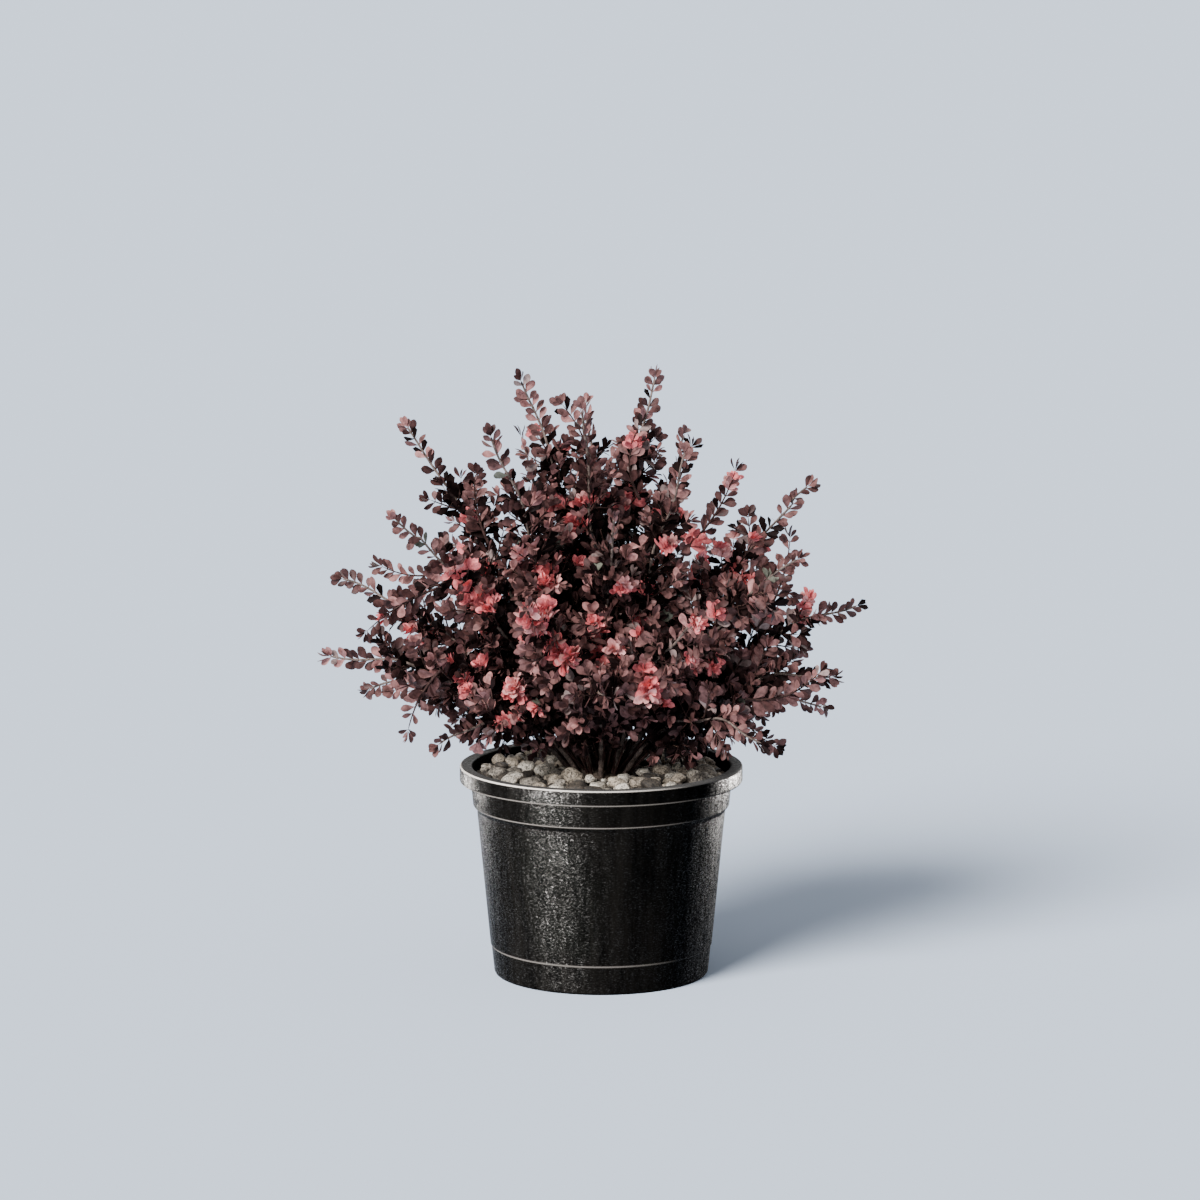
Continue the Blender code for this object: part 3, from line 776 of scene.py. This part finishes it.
    def grow_sucker(self, order):
        """A thin young stem from the stool, in leaf towards its tip."""
        out = Vector((math.cos(order * TURN), math.sin(order * TURN), 0))
        root = out * self.rng.uniform(*SUCKER_RING) + UP * (SOIL + STOOL_HEIGHT / 2)
        way = (out * self.rng.uniform(0.3, 1.2) + UP).normalized()
        points, _ = self.twig_points(root, way, self.rng.uniform(*SUCKER_LENGTHS))
        self.add_twig(points, SUCKER_RADIUS)
        self.leaf_twig(points[len(points) // 2 :], SUCKER_LEAVES, self.rng.uniform(*SUCKER_SHADES))

    def nodes(self, points, spacing):
        """Places along a shoot, as (root, heading, share of the shoot below it)."""
        total = sum((b - a).length for a, b in zip(points, points[1:]))
        walked = self.rng.uniform(0.3, 1) * spacing
        gone = 0.0
        places = []
        for a, b in zip(points, points[1:]):
            step = (b - a).length
            while walked < step:
                share = (gone + walked) / total
                places.append((a.lerp(b, walked / step), (b - a).normalized(), share))
                walked += spacing * (1 - 0.3 * share) * self.rng.uniform(0.8, 1.25)
            walked -= step
            gone += step
        return places

    def leaf_twig(self, points, lengths, shade):
        """A spine and a few leaves at each node, in a spiral, and a tuft at the twig's tip."""
        turn = self.rng.uniform(0, math.tau)
        for root, heading, share in self.nodes(points, TWIG_NODES):
            turn += TURN
            self.spines.append((root, outward(heading, turn, SPINE_LEAN)))
            ways = [self.leaf_way(heading, turn) for _ in range(self.rng.randint(2, 3))]
            length = lengths[0] + (lengths[1] - lengths[0]) * share
            face = outside(root) + heading * 0.4
            self.sprays.append(Spray(root, heading, ways, face, length, shade))
        heading = (points[-1] - points[-2]).normalized()
        ways = [heading] + [outward(heading, turn + side, TUFT_LEAN) for side in (0.0, 2.2, 4.1)]
        face = outside(points[-1]) + outward(heading, turn, 1.5) * 0.5
        self.sprays.append(Spray(points[-1], heading, ways, face, lengths[1] * 1.05, shade))

    def leaf_way(self, heading, turn):
        lean = math.radians(self.rng.uniform(30, 66))
        return outward(heading, turn + self.rng.uniform(-0.9, 0.9), lean)

    def leaf_shoot(self, points, shade):
        """A flat plume, whose leaves lie to both sides and shrink to a tuft at its tip."""
        for root, heading, share in self.nodes(points, SHOOT_NODES):
            round_about = UP.cross(root * Vector((1, 1, 0))).normalized()
            upper = round_about.cross(heading).normalized()
            self.spines.append((root, outward(heading, self.rng.uniform(0, math.tau), SPINE_LEAN)))
            length = SHOOT_LEAVES[0] + (SHOOT_LEAVES[1] - SHOOT_LEAVES[0]) * share
            ways = []
            for side in (upper, -upper, upper, -upper):
                if self.rng.random() < SIDE_LEAF_CHANCE:
                    lean = math.radians(self.rng.uniform(30, 62))
                    way = heading * math.cos(lean) + side * math.sin(lean)
                    ways.append(way + round_about * self.rng.uniform(-0.55, 0.55))
            face = round_about * self.rng.choice((-1, 1)) + upper * 0.3
            self.sprays.append(Spray(root, heading, ways, face, length, shade, True))
        heading = (points[-1] - points[-2]).normalized()
        turn = self.rng.uniform(0, math.tau)
        ways = [heading] + [outward(heading, turn + side, TUFT_LEAN) for side in (0.0, 2.1, 4.2)]
        face = outward(heading, turn, math.pi / 2)
        self.sprays.append(Spray(points[-1], heading, ways, face, SHOOT_LEAVES[1], shade, True))


def grid_quads(rows, sides):
    """Faces between a stack of closed rings of points."""
    row = np.arange(rows - 1)[:, None] * sides
    column = np.arange(sides)[None, :]
    after = (column + 1) % sides
    corners = [row + column, row + after, row + sides + after, row + sides + column]
    return np.stack(corners, -1).reshape(-1, 4)


def sweep_arrays(routes, sides, relief=None):
    """Points and four-cornered faces of tapering tubes along routes, each drawn in at its tip."""
    all_points, all_quads = [], []
    base = 0
    for number, (points, radii) in enumerate(routes):
        path = np.array([tuple(p) for p in points])
        ahead = np.gradient(path, axis=0)
        ahead /= np.linalg.norm(ahead, axis=1, keepdims=True)
        side = np.cross(ahead, [0.31, 0.17, 0.93])
        side /= np.linalg.norm(side, axis=1, keepdims=True)
        over = np.cross(ahead, side)
        turns = (np.arange(sides) / sides * math.tau)[None, :, None]
        ring = np.cos(turns) * side[:, None] + np.sin(turns) * over[:, None]
        girth = np.array(radii)[:, None] * np.ones(sides)[None, :]
        girth[-1] *= 0.15
        if relief:
            girth *= relief(number, len(path), sides)
        all_points.append((path[:, None] + ring * girth[:, :, None]).reshape(-1, 3))
        all_quads.append(grid_quads(len(path), sides) + base)
        base += len(path) * sides
    return np.concatenate(all_points), np.concatenate(all_quads)


def bark_relief(number, length, sides):
    """Long ridges that drift round a stem, with a swelling at each old node."""
    rng = np.random.default_rng(GROWTH_SEED + number)
    along = np.arange(length)[:, None]
    around = np.arange(sides)[None, :] / sides * math.tau
    drift = rng.uniform(0, math.tau) + 0.05 * along
    ridges = 0.10 * np.sin(3 * around + drift) + 0.07 * np.sin(5 * around - 1.7 * drift)
    node = np.exp(-(((along % 4) - 2.0) ** 2) / 0.5)
    knots = 0.16 * node * np.clip(np.cos(around - 2.4 * (along // 4)), 0, 1)
    grain = 0.07 * rng.standard_normal((length, sides))
    return 1 + ridges + knots + grain


def make_stems(growth, cane_nodes, foliage_nodes):
    stems = array_object("stems", *sweep_arrays(growth.canes, CANE_SIDES, bark_relief), NO_TRIANGLES)
    paint(stems, bark_material("cane_bark"))
    stand_in(stems, "cane_bark", *cane_nodes)
    twigs = array_object("twigs", *sweep_arrays(growth.twigs, TWIG_SIDES), NO_TRIANGLES)
    paint(twigs, bark_material("twig_bark"))
    stand_in(twigs, "cane_bark", *foliage_nodes)


def make_spines(growth):
    """One thin three-sided spine at each node."""
    rng = np.random.default_rng(GROWTH_SEED)
    roots = np.array([tuple(root) for root, _ in growth.spines])
    ways = np.array([tuple(way.normalized()) for _, way in growth.spines])
    lengths = rng.uniform(*SPINE_LENGTHS, len(roots))
    side = np.cross(ways, [0.2, 0.4, 0.9])
    side /= np.linalg.norm(side, axis=1, keepdims=True)
    over = np.cross(ways, side)
    corners = []
    for turn in np.arange(3) / 3 * math.tau:
        corners.append(roots + (math.cos(turn) * side + math.sin(turn) * over) * SPINE_RADIUS)
    corners.append(roots + ways * lengths[:, None])
    points = np.stack(corners, 1).reshape(-1, 3)
    faces = np.array([(0, 1, 3), (1, 2, 3), (2, 0, 3)])
    triangles = (np.arange(len(roots))[:, None, None] * 4 + faces[None]).reshape(-1, 3)
    spines = array_object("spines", points, NO_QUADS, triangles, smooth=False)
    paint(spines, bark_material("spine"))
    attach(spines, "root")


# A leaf's outline as (share of its length, half width as a share of its full width), fine and plain
FINE_LEAF = ((0.16, 0.10), (0.36, 0.31), (0.58, 0.49), (0.78, 0.47), (0.92, 0.27))
PLAIN_LEAF = ((0.38, 0.30), (0.76, 0.48))


def leaf_template(rows):
    """A spoon-shaped leaf's points as (along, across), and its faces on both sides of the midrib."""
    points = [(0.0, 0.0)]
    for along, half in rows:
        points += [(along, -half), (along, 0.0), (along, half)]
    points.append((1.0, 0.0))
    quads = []
    for row in range(len(rows) - 1):
        first = 1 + 3 * row
        quads.append((first, first + 1, first + 4, first + 3))
        quads.append((first + 1, first + 2, first + 5, first + 4))
    last = len(points) - 1
    triangles = [(0, 2, 1), (0, 3, 2), (last - 3, last - 2, last), (last - 2, last - 1, last)]
    return np.array(points), np.array(quads), np.array(triangles)


def leaf_arrays(leaves, rows):
    """Many leaves as arrays. Each folds at its midrib and curls along its length."""
    outline, quads, triangles = leaf_template(rows)
    roots, ways, faces = (np.array([tuple(leaf[k]) for leaf in leaves]) for k in range(3))
    lengths, widths, curls = (np.array([leaf[k] for leaf in leaves]) for k in range(3, 6))
    side = np.cross(faces, ways)
    side /= np.linalg.norm(side, axis=1, keepdims=True) + 1e-9
    over = np.cross(ways, side)
    along = outline[:, 0][None, :]
    across = outline[:, 1][None, :]
    height = np.abs(across) * LEAF_FOLD * widths[:, None] - curls[:, None] * along**2
    points = (
        roots[:, None]
        + ways[:, None] * (along * lengths[:, None])[..., None]
        + side[:, None] * (across * (widths * lengths)[:, None])[..., None]
        + over[:, None] * (height * lengths[:, None])[..., None]
    )
    base = np.arange(len(leaves))[:, None, None] * len(outline)
    quads = (base + quads[None]).reshape(-1, 4)
    triangles = (base + triangles[None]).reshape(-1, 3)
    return points.reshape(-1, 3), quads, triangles


def brighten(sprays):
    """Marks new growth: the foremost sprays on each cluster's sight line, and again round the back."""
    roots = np.array([tuple(spray.root) for spray in sprays])
    spots = [(pixel, LARGE_BRIGHT) for pixel in LARGE_BRIGHT_PIXELS]
    spots += [(pixel, SMALL_BRIGHT) for pixel in SMALL_BRIGHT_PIXELS]
    for k in range(BRIGHT_TURNS):
        turn = Matrix.Rotation(math.tau * k / BRIGHT_TURNS, 3, "Z")
        eye = np.array(turn @ Vector((0, -CAMERA_DISTANCE, CAMERA_HEIGHT)))
        allowed = roots[:, 1] > (0 if k else -1)
        for pixel, (reach, count, swell) in spots:
            way = np.array(turn @ sight_line(pixel))
            ahead = (roots - eye) @ way
            aside = np.linalg.norm(roots - eye - ahead[:, None] * way, axis=1)
            near = np.flatnonzero(allowed & (aside < reach))
            order = near[np.argsort(ahead[near] + 1.5 * aside[near])]
            for index in order[: 2 * count]:
                sprays[index].growth = max(sprays[index].growth, BESIDE_NEW)
                sprays[index].swell = swell
            for index in order[:count]:
                sprays[index].growth = NEW


def pick(rng, odds):
    return rng.choices(list(odds), list(odds.values()))[0]


def spray_tint(rng, spray):
    """Painted shade: near black for sprays that many others cover inside the crown, then maroon, and
    dusky or rose outside; darker low over the pot. New growth is coral.
    """
    if spray.growth == NEW:
        return pick(rng, NEW_ODDS)
    if spray.growth == BESIDE_NEW and rng.random() < 0.5:
        return pick(rng, BESIDE_ODDS)
    cover = spray.overhung + 5 * (spray.shade - 0.5) + 4 * (rng.random() - 0.5)
    if spray.free:
        cover -= FREE_COVER
    # painted shade low over the pot, under the crown
    if math.hypot(spray.root.x, spray.root.y) < RIM_RADIUS:
        cover += max(0, SKIRT - spray.root.z) / SKIRT_FADE
    if cover > DEEP_COVER:
        return "deep"
    for least, odds in COVER_ODDS:
        if cover > least:
            return pick(rng, odds)
    return pick(rng, OPEN_ODDS)


def spray_leaves(rng, spray):
    """The spray's leaves. New growth has more of them, spread like a small flower."""
    ways = list(spray.ways)
    length = spray.length * spray.swell
    if spray.growth == NEW:
        spur = (spray.heading + outside(spray.root)).normalized()
        ways += [outward(spur, k * TURN, 0.35 + 0.13 * k) for k in range(NEW_LEAVES)]
    leaves = []
    for way in ways:
        way = way.normalized()
        face = spray.face + Vector([rng.uniform(-0.5, 0.5) for _ in range(3)])
        reach = length * rng.uniform(0.78, 1.15)
        if clear_of_rim(spray.root + way * reach):
            width = LEAF_WIDTH * rng.uniform(0.85, 1.12)
            leaves.append((spray.root, way, face, reach, width, rng.uniform(*LEAF_CURLS)))
    return leaves


def make_leaves(growth, foliage_nodes):
    rng = random.Random(GROWTH_SEED + 1)
    brighten(growth.sprays)
    for spray, count in zip(growth.sprays, overhung(growth.sprays)):
        spray.overhung = count
    leaves = {tint: [] for tint in TINTS}
    for spray in growth.sprays:
        leaves[spray_tint(rng, spray)] += spray_leaves(rng, spray)
    for tint, made in leaves.items():
        rows = PLAIN_LEAF if tint == "deep" else FINE_LEAF
        material = leaf_material(tint)
        for part, first in enumerate(range(0, len(made), PIECE_LEAVES), 1):
            arrays = leaf_arrays(made[first : first + PIECE_LEAVES], rows)
            piece = array_object(f"leaves_{tint}_{part}", *arrays)
            paint(piece, material)
            stand_in(piece, "barberry_leaf", *foliage_nodes)


def arc(centre, radius, start, end, steps):
    """Points of a profile on an arc, in degrees anticlockwise from straight out."""
    turns = [math.radians(start + (end - start) * k / steps) for k in range(steps + 1)]
    return [(centre[0] + radius * math.cos(a), centre[1] + radius * math.sin(a)) for a in turns]


def wall_radius(height):
    return BASE_RADIUS + (WALL_TOP_RADIUS - BASE_RADIUS) * height / WALL_TOP


def rounded(profile, radius, steps=3):
    """The profile with each inner corner cut by a small curve."""
    smooth = [profile[0]]
    for before, corner, after in zip(profile, profile[1:], profile[2:]):
        here = Vector(corner)
        to_before = Vector(before) - here
        to_after = Vector(after) - here
        cut = min(radius, to_before.length * 0.45, to_after.length * 0.45)
        start = here + to_before.normalized() * cut
        end = here + to_after.normalized() * cut
        for k in range(steps + 1):
            t = k / steps
            smooth.append(tuple(start * (1 - t) ** 2 + here * 2 * t * (1 - t) + end * t**2))
    smooth.append(profile[-1])
    return smooth


def pot_profile():
    """The pot's closed section as (radius, height), from the middle of its underside up and back in."""
    rim_foot = POT_HEIGHT - RIM_DEPTH
    foot_inner = BASE_RADIUS - FOOT_RING_WIDTH
    outside_wall = [
        (0, 0),
        (PAD_RADIUS, 0),
        (PAD_RADIUS + EDGE, UNDERSIDE_RECESS),
        (foot_inner - EDGE, UNDERSIDE_RECESS),
        (foot_inner, 0),
        (BASE_RADIUS - EDGE, 0),
        (BASE_RADIUS - BAND_STEP, EDGE),
        (wall_radius(BAND_TOP) - BAND_STEP, BAND_TOP - BAND_STEP),
        (wall_radius(BAND_TOP), BAND_TOP),
        (WALL_TOP_RADIUS, WALL_TOP),
        (COLLAR_FOOT_RADIUS, COLLAR_FOOT),
        (COLLAR_RADIUS, rim_foot),
    ]
    rim = arc((RIM_RADIUS - EDGE, rim_foot + EDGE), EDGE, -90, 0, 8)
    rim += arc((RIM_RADIUS - EDGE, POT_HEIGHT - EDGE), EDGE, 0, 90, 8)
    rim += arc((RIM_RADIUS - RIM_WIDTH + EDGE, POT_HEIGHT - EDGE), EDGE, 90, 180, 6)
    inside_wall = [
        (RIM_RADIUS - RIM_WIDTH, POT_HEIGHT - LEDGE_DEPTH),
        (COLLAR_RADIUS - WALL, POT_HEIGHT - LEDGE_DEPTH - EDGE),
        (COLLAR_FOOT_RADIUS - WALL, COLLAR_FOOT),
        (WALL_TOP_RADIUS - WALL, WALL_TOP),
        (wall_radius(FLOOR) - WALL, FLOOR),
        (0, FLOOR),
    ]
    return rounded(outside_wall, 0.9 * MM) + rim + rounded(inside_wall, 1.2 * MM)


def turned(name, profile, sides):
    """Spins a profile of (radius, height) points, which starts and ends on the axis, round that axis."""
    bm = bmesh.new()
    verts = [bm.verts.new((radius, 0, height)) for radius, height in profile]
    edges = [bm.edges.new(pair) for pair in zip(verts, verts[1:])]
    bmesh.ops.spin(
        bm,
        geom=verts + edges,
        axis=(0, 0, 1),
        cent=(0, 0, 0),
        angle=math.tau,
        steps=sides,
        use_merge=True,
    )
    bmesh.ops.remove_doubles(bm, verts=bm.verts, dist=0.01 * MM)
    bmesh.ops.recalc_face_normals(bm, faces=bm.faces)
    return bmesh_object(name, bm)


def bmesh_object(name, bm):
    mesh = bpy.data.meshes.new(name)
    bm.to_mesh(mesh)
    bm.free()
    return finish_mesh(name, mesh, True)


def cut_drain_holes(pot):
    """Six round holes through the pot's floor."""
    bm = bmesh.new()
    for k in range(DRAIN_COUNT):
        turn = Matrix.Rotation(math.tau * (k + 0.5) / DRAIN_COUNT, 4, "Z")
        bmesh.ops.create_cone(
            bm,
            cap_ends=True,
            segments=32,
            radius1=DRAIN_RADIUS,
            radius2=DRAIN_RADIUS,
            depth=3 * FLOOR,
            matrix=turn @ Matrix.Translation((DRAIN_CIRCLE, 0, FLOOR / 2)),
        )
    cutter = bmesh_object("drain_cutter", bm)
    boolean = pot.modifiers.new("drains", "BOOLEAN")
    boolean.operation = "DIFFERENCE"
    boolean.solver = "EXACT"
    boolean.object = cutter
    graph = bpy.context.evaluated_depsgraph_get()
    mesh = bpy.data.meshes.new_from_object(pot.evaluated_get(graph))
    pot.modifiers.clear()
    pot.data = mesh
    bpy.data.objects.remove(cutter, do_unlink=True)


def make_pot():
    pot = turned("pot_shell", pot_profile(), POT_SIDES)
    cut_drain_holes(pot)
    pot.data.shade_smooth()
    pot.data.set_sharp_from_angle(angle=math.radians(40))
    paint(pot, pot_material())
    stand_in(pot, "pot_plastic", "pot")
    return pot


def stone(rng, subdivisions):
    """A water-worn stone of unit length: a ball with worn facets, lumps and pits, flattened."""
    bm = bmesh.new()
    bmesh.ops.create_icosphere(bm, subdivisions=subdivisions, radius=0.5)
    points = np.array([tuple(vert.co) for vert in bm.verts])
    triangles = np.array([[vert.index for vert in face.verts] for face in bm.faces])
    bm.free()
    for _ in range(8):
        way = rng.standard_normal(3)
        way /= np.linalg.norm(way)
        depth = rng.uniform(0.33, 0.46)
        over = np.clip(points @ way - depth, 0, None)
        points = points - over[:, None] * way * 0.8
    for frequency, height in ((3.5, 0.08), (8.0, 0.035), (17.0, 0.014)):
        ways = rng.standard_normal((4, 3))
        phase = rng.uniform(0, math.tau, 4)
        wave = np.sin(points @ ways.T * frequency + phase).mean(1)
        points = points * (1 + height * 2 * wave[:, None])
    return points * np.array([1.0, rng.uniform(0.68, 0.90), rng.uniform(0.54, 0.70)]), triangles


def laid_stone(rng, points, length, spot, height):
    """The stone's points, at its real length, turned and tilted, with its middle at a place."""
    turn = Matrix.Rotation(rng.uniform(0, math.tau), 3, "Z")
    turn @= Matrix.Rotation(rng.uniform(-STONE_TILT, STONE_TILT), 3, "X")
    turn @= Matrix.Rotation(rng.uniform(-STONE_TILT, STONE_TILT), 3, "Y")
    return points @ np.array(turn).T * length + np.array((*spot, height))


def scatter(rng, inner, outer, tries, spacing, taken):
    """Places in a ring, each at least a spacing from those before it."""
    places = list(taken)
    for _ in range(tries):
        radius = math.sqrt(rng.uniform(inner**2, outer**2))
        bearing = rng.uniform(0, math.tau)
        spot = np.array([radius * math.cos(bearing), radius * math.sin(bearing)])
        if all(np.linalg.norm(spot - other) > spacing for other in places):
            places.append(spot)
    return places[len(taken) :]


def lay_stones(rng):
    """Every stone as (kind, spot, length, height). Stones keep apart from others of their kind."""
    laid = []
    for kind, inner, outer, tries, spacing, lengths, heights in STONE_LAYERS:
        taken = [spot for other, spot, _, _ in laid if other == kind]
        for spot in scatter(rng, GRAVEL_INNER + inner, GRAVEL_OUTER - outer, tries, spacing, taken):
            laid.append((kind, spot, rng.uniform(*lengths) * MM, rng.uniform(*heights) * MM))
    return laid


def make_gravel():
    """Large pebbles over smaller ones, with dark grit in the gaps."""
    rng = np.random.default_rng(GRAVEL_SEED)
    shapes = {"pebble": [stone(rng, 3) for _ in range(12)], "grit": [stone(rng, 2) for _ in range(5)]}
    joined = {tint: ([], []) for tint in STONE_TINTS}
    for kind, spot, length, height in lay_stones(rng):
        points, triangles = shapes[kind][rng.integers(len(shapes[kind]))]
        stones, faces = joined[list(STONE_TINTS)[rng.choice(4, p=STONE_ODDS[kind])]]
        faces.append(triangles + sum(len(p) for p in stones))
        stones.append(laid_stone(rng, points, length, spot, height))
    for tint, (stones, faces) in joined.items():
        piece = array_object("pebbles_" + tint, np.concatenate(stones), NO_QUADS, np.concatenate(faces))
        paint(piece, stone_material(tint))
        stand_in(piece, "river_gravel", "gravel_mulch")


def make_stool():
    """The woody crown: a low lobed dome of old bark."""
    rings, sides = 26, 120
    share = np.arange(rings)[:, None] / (rings - 1)
    around = np.arange(sides)[None, :] / sides * math.tau
    lobes = 1 + 0.06 * np.cos(STOOL_LOBES * around)
    radius = STOOL_RADIUS * np.cos(share * math.pi / 2 * 0.985) ** 0.7 * lobes
    height = SOIL + STOOL_HEIGHT * np.sin(share * math.pi / 2) * np.ones_like(around)
    rng = np.random.default_rng(STOOL_SEED)
    ripple = 0.8 * MM * np.sin(23 * around + 6 * share) + 0.5 * MM * rng.standard_normal((rings, sides))
    x = (radius + ripple) * np.cos(around)
    y = (radius + ripple) * np.sin(around)
    points = np.stack([x, y, height + 0.4 * ripple], -1).reshape(-1, 3)
    piece = array_object("stool_bark", points, grid_quads(rings, sides), NO_TRIANGLES)
    paint(piece, bark_material("old_bark"))
    stand_in(piece, "old_bark", "stool")


def main():
    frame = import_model()
    place_camera()
    lay_floor()
    cane_nodes = [f"{tier}_cane_{k + 1}" for tier, rows in CANES.items() for k in range(len(rows))]
    foliage_nodes = [name.replace("cane", "foliage") for name in cane_nodes]
    growth = Growth()
    make_stems(growth, cane_nodes, foliage_nodes)
    make_spines(growth)
    make_leaves(growth, foliage_nodes)
    make_stool()
    make_gravel()
    light_studio(make_pot())
    paint(frame["nodes"]["compost"], compost_material())


main()
